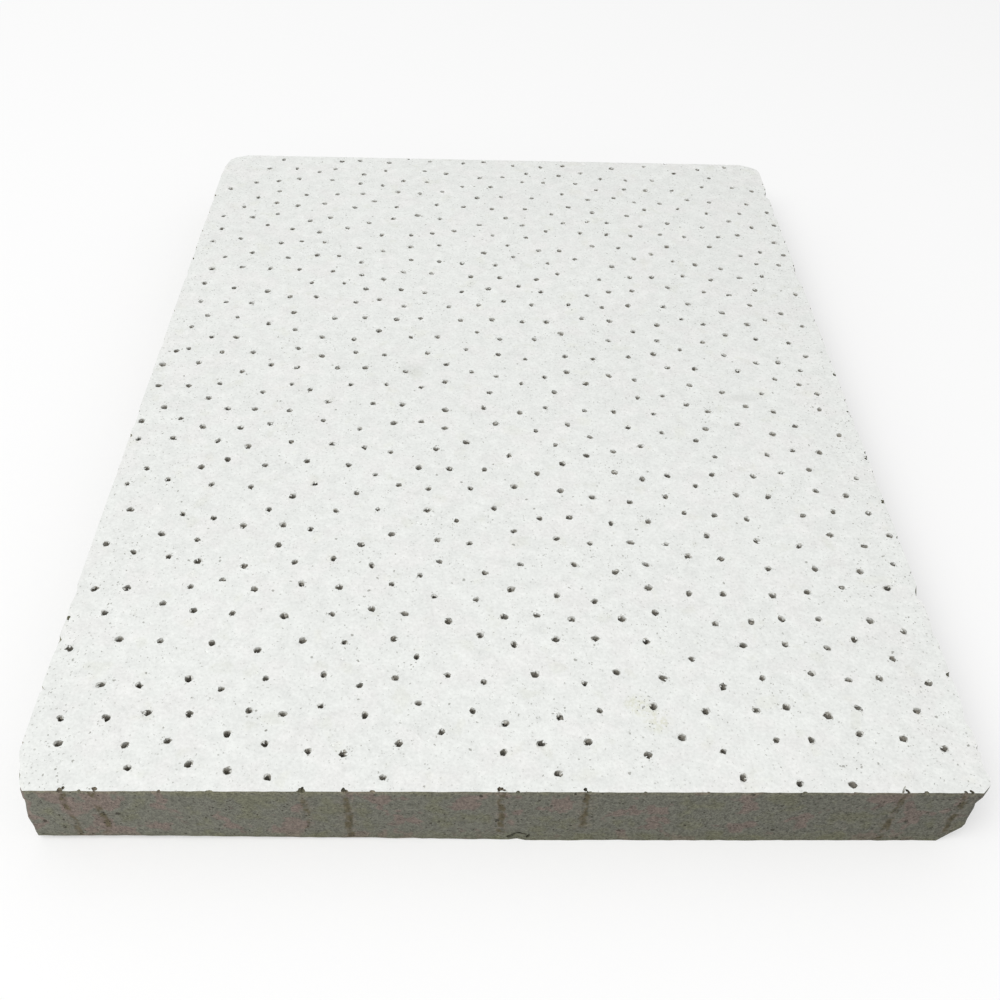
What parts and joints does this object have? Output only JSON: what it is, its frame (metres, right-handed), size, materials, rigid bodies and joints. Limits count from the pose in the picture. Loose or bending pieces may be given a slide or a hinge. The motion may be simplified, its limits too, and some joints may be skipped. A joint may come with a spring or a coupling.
{
  "type": "suspended ceiling tile",
  "caption": "Cut piece of a suspended ceiling tile: flat mineral-fibre board with a white painted face, scattered blind needle perforations, cut edges and worn corners.",
  "frame": {"origin": "under the middle of the board, on its back face", "axes": "+X along the front edge to the right, +Y from the front edge to the back edge, +Z from the back of the board to its painted face"},
  "size_m": [0.15, 0.2, 0.015],
  "materials": {
    "painted_board": "matt white paint on the face, bare grey fibre on the cut edges and the back"
  },
  "bodies": {
    "root": {"ceiling_tile": "painted_board"}
  },
  "joints": []
}
